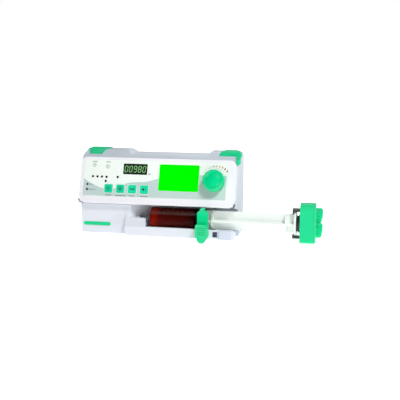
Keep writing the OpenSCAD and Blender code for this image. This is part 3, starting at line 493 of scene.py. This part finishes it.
def make_labels():
    for i, (x, s, width) in enumerate(LABELS):
        printed("label_%02d" % i, words(x, s, width), "dark")


def make_dial_ticks():
    """Ticks over the knob, which grow from pale to red."""
    inks = ["wave"] * 3 + ["dark"] + ["orange"] * 3 + ["red"] * 3
    for i, ink in enumerate(inks):
        share = i / (len(inks) - 1)
        angle, sweep = 128 - 100 * share, 2.5 + 2.5 * share
        inner = 19.5 + 1.2 * share
        outer = inner + 1.6 + 1.4 * share
        printed("dial_tick_%d" % i, [band(knob_x, knob_s, inner, outer, angle, sweep, 3)], ink)


def icon_outlines(key, x, s):
    """Generic symbol for each key, about 7 mm across."""
    if key == "key_start":
        return [band(x, s, 3.0, 3.6, 100), [(x - 1.2, s - 1.8), (x + 1.9, s), (x - 1.2, s + 1.8)]]
    if key == "key_stop":
        return [band(x, s, 3.0, 3.6, 100), bar(x - 1.4, s - 1.4, x + 1.4, s + 1.4)]
    if key == "key_fast":
        return [[(x + d, s), (x + d + 3, s - 1.9), (x + d + 3, s + 1.9)] for d in (-3.3, 0.1)]
    horn = [(x - 3, s - 0.9), (x - 1.7, s - 0.9), (x + 0.4, s - 2.4), (x + 0.4, s + 2.4), (x - 1.7, s + 0.9),
            (x - 3, s + 0.9)]
    return [horn, band(x + 0.6, s, 1.8, 2.3, -50, 100, 8)]


def make_keys():
    for key in KEYS:
        softened(key, 0.35)
        x, s = centre_of(key_boxes[key])
        printed(key + "_icon", icon_outlines(key, x, s), "icon", 0.88, 0.94, body_of[key], "green_key")


SEGMENTS = {"0": "abcdef", "5": "acdfg", "8": "abcdefg", "9": "abcdfg"}


def segment_outline(segment, x, s, width, height, thick):
    """Six-sided bar of one segment of a digit whose lower left corner is x, s, leaning to the right."""
    level = {"a": 2, "g": 1, "d": 0}
    half, tip = thick / 2, thick * 0.6
    if segment in level:
        s_mid = s + height * level[segment] / 2
        flat = [(x + tip, s_mid - half), (x + width - tip, s_mid - half), (x + width - 0.1, s_mid),
                (x + width - tip, s_mid + half), (x + tip, s_mid + half), (x + 0.1, s_mid)]
    else:
        x_mid = x + (width if segment in "bc" else 0)
        low = s + (height / 2 if segment in "bf" else 0)
        top = low + height / 2
        flat = [(x_mid, low + 0.1), (x_mid + half, low + tip), (x_mid + half, top - tip), (x_mid, top - 0.1),
                (x_mid - half, top - tip), (x_mid - half, low + tip)]
    return [(px + (ps - s) * 0.12, ps) for px, ps in flat]


def make_digits():
    """Five lit digits behind the dark window."""
    width, height, pitch, thick, dot_r = 3.7, 8.2, 6.3, 1.05, 0.5
    reading = "00980"
    x0, s0, x1, s1 = digit_box
    start = (x0 + x1 - pitch * (len(reading) - 1) - width) / 2 - 0.5
    base = (s0 + s1 - height) / 2
    lit_bars, unlit_bars = [], []
    for i, digit in enumerate(reading):
        for segment in "abcdefg":
            bars = lit_bars if segment in SEGMENTS[digit] else unlit_bars
            bars.append(segment_outline(segment, start + i * pitch, base, width, height, thick))
        unlit_bars.append(arc(start + i * pitch + width + 1.3, base, dot_r, steps=12))
    printed("digits_lit", lit_bars, "lit_digit", 0.025, 0.06, slot="dark_lens")
    printed("digits_unlit", unlit_bars, "unlit_digit", 0.025, 0.05, slot="dark_lens")


def parts_of(bm):
    """Groups of connected vertices."""
    left, groups = set(bm.verts), []
    while left:
        queue, group = [left.pop()], []
        while queue:
            vert = queue.pop()
            group.append(vert)
            near = {e.other_vert(vert) for e in vert.link_edges} & left
            left -= near
            queue += near
        groups.append(group)
    return groups


def make_lamps():
    """The two wide lamps are pale when off; the small status lamps look black."""
    wide_lamp = 6 * MM
    for name, keep_wide, material in (("alarm_lamps", True, INKS["lamp"]), ("status_lamps", False, None)):
        bm = cleaned("indicator_leds")
        for group in parts_of(bm):
            xs = [v.co.x for v in group]
            if (max(xs) - min(xs) > wide_lamp) != keep_wide:
                bmesh.ops.delete(bm, geom=group, context="VERTS")
        smooth(piece_from(bm, name, "root", "lamp_lens", ["indicator_leds"], material))


def make_bezel():
    """White frame with a fine step all round, 4 mm in from its edge."""
    bezel = softened("front_bezel", 1.2, 3)
    x0, s0, x1, s1 = panel_box("front_bezel")
    inset, groove, painted_shade_ramp, corner_r = 4.0, 0.35, 0.3, 5.5
    outer, inner = (round_bar(x0 + i, s0 + i, x1 - i, s1 - i, inset + corner_r - i)
                    for i in (inset, inset + groove))
    tools = bmesh.new()
    rings = [[tools.verts.new(PANEL @ Vector((x, s, n))) for x, s in loop]
             for loop, n in ((outer, -painted_shade_ramp), (outer, 1), (inner, 1), (inner, -painted_shade_ramp))]
    for a, b in zip(rings, rings[1:] + rings[:1]):
        for i in range(len(outer)):
            j = (i + 1) % len(outer)
            tools.faces.new((a[i], a[j], b[j], b[i]))
    bmesh.ops.recalc_face_normals(tools, faces=tools.faces)
    carved(bezel, tools)


# ---------- syringe and springs ----------

liquid_low, liquid_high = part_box("syringe_liquid")
AXIS = Vector((0, (liquid_low.y + liquid_high.y) / 2, (liquid_low.z + liquid_high.z) / 2))
SCALE_R = 15.33  # radius on which the volume marks are printed, mm


def lathe(bm, profile, steps=64):
    """Turns (x, r) points in metres about the syringe's axis."""
    rings = []
    for x, r in profile:
        turns = [math.tau * i / steps for i in range(steps if r > 0 else 1)]
        rings.append([bm.verts.new((x, AXIS.y + r * math.cos(a), AXIS.z + r * math.sin(a))) for a in turns])
    for a, b in zip(rings, rings[1:]):
        for i in range(steps):
            j = (i + 1) % steps
            corners = [a[i % len(a)], a[j % len(a)], b[j % len(b)], b[i % len(b)]]
            bm.faces.new(list(dict.fromkeys(corners)))
    bmesh.ops.recalc_face_normals(bm, faces=bm.faces)


def with_painted_shading(material, x0, x1):
    """Copy of a material with painted light and shade along the column: a painted highlight at the near end x0,
    painted shade darkening towards x1.
    """
    result = material.copy()
    tree = result.node_tree
    shader = tree.nodes["Principled BSDF"]
    spot = tree.nodes.new("ShaderNodeSeparateXYZ")
    tree.links.new(tree.nodes.new("ShaderNodeTexCoord").outputs["Object"], spot.inputs["Vector"])
    ramp = tree.nodes.new("ShaderNodeMapRange")
    ramp.inputs["From Min"].default_value = x0
    ramp.inputs["From Max"].default_value = x1
    tree.links.new(spot.outputs["X"], ramp.inputs["Value"])
    # Painted light and shade: brighter than the base colour near x0 as a painted highlight, then painted shade
    # darkening towards x1.
    painted_shade_ramp = tree.nodes.new("ShaderNodeValToRGB")
    stops = painted_shade_ramp.color_ramp.elements
    stops[0].color = (1.25, 1.1, 1, 1)
    stops[1].color = (0.08, 0.15, 0.6, 1)
    for place, shade in ((0.14, (1.1, 1, 1, 1)), (0.2, (0.5, 0.5, 0.7, 1)), (0.75, (0.3, 0.3, 0.7, 1))):
        stops.new(place).color = shade
    tree.links.new(ramp.outputs["Result"], painted_shade_ramp.inputs["Fac"])
    blend = tree.nodes.new("ShaderNodeMix")
    blend.data_type = "RGBA"
    blend.blend_type = "MULTIPLY"
    blend.inputs["Factor"].default_value = 1
    tree.links.new(shader.inputs["Base Color"].links[0].from_socket, blend.inputs["A"])
    tree.links.new(painted_shade_ramp.outputs["Color"], blend.inputs["B"])
    tree.links.new(blend.outputs["Result"], shader.inputs["Base Color"])
    return result


def make_liquid():
    """Column of liquid in front of the stopper."""
    start, end = liquid_low.x, liquid_high.x
    length, r = end - start, (liquid_high.z - liquid_low.z) / 2
    edge_r, edge_steps, rings = 1.4 * MM, 5, 12
    turns = [math.pi / 2 * (1 - i / edge_steps) for i in range(edge_steps + 1)]
    nose = [(start + edge_r * (1 - math.sin(a)), r - edge_r * (1 - math.cos(a))) for a in turns]
    body = [(start + length * i / rings, r) for i in range(1, rings + 1)]
    bm = bmesh.new()
    lathe(bm, [(start, 0.0)] + nose + body + [(end, 0.0)])
    liquid = piece_from(bm, "liquid_column", body_of["syringe_liquid"], "red_liquid", ["syringe_liquid"],
                        with_painted_shading(MATERIALS["red_liquid"], start, end))
    smooth(liquid)
    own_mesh(liquid)


def make_spring():
    """Return spring of the barrel clamp."""
    spring = piece_from(cleaned("clamp_spring"), "return_spring", "root", "steel", ["clamp_spring"])
    smooth(spring)
    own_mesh(spring)


def curved_line(bm, x, start, sweep, width, steps=6):
    """Closed strip round the barrel at x, from the angle start down through sweep degrees."""
    thick = 0.03
    angles = [math.radians(start - sweep * k / steps) for k in range(steps + 1)]
    corners = ((-width / 2, SCALE_R), (-width / 2, SCALE_R + thick), (width / 2, SCALE_R + thick),
               (width / 2, SCALE_R))
    lines = [[bm.verts.new((x + side * MM, AXIS.y + r * MM * math.cos(a), AXIS.z + r * MM * math.sin(a)))
              for a in angles] for side, r in corners]
    for first, second in zip(lines, lines[1:] + lines[:1]):
        for k in range(steps):
            bm.faces.new((first[k], first[k + 1], second[k + 1], second[k]))
    for k in (0, steps):
        bm.faces.new([line[k] for line in lines])


def make_scale():
    """Volume marks printed on the barrel: a line each millilitre, longer each fifth."""
    marks, start_angle, width = 50, 152, 0.24
    bm = bmesh.new()
    for i in range(marks + 1):
        x = liquid_low.x + (liquid_high.x - liquid_low.x) * i / marks
        curved_line(bm, x, start_angle, 26 if i % 5 == 0 else 14, width)
    bmesh.ops.recalc_face_normals(bm, faces=bm.faces)
    piece_from(bm, "barrel_scale", "root", "clear_barrel", material=INKS["dark"])


# ---------- assembly of the scene ----------

make_camera()
make_studio()
paint_frame()
for edge_width, group in EDGES.items():
    for soft_node in group:
        softened(soft_node, edge_width)
make_bezel()
make_wave()
make_labels()
make_dial_ticks()
make_keys()
make_digits()
make_lamps()
make_liquid()
make_spring()
softened("syringe_barrel", 0.12)
make_scale()
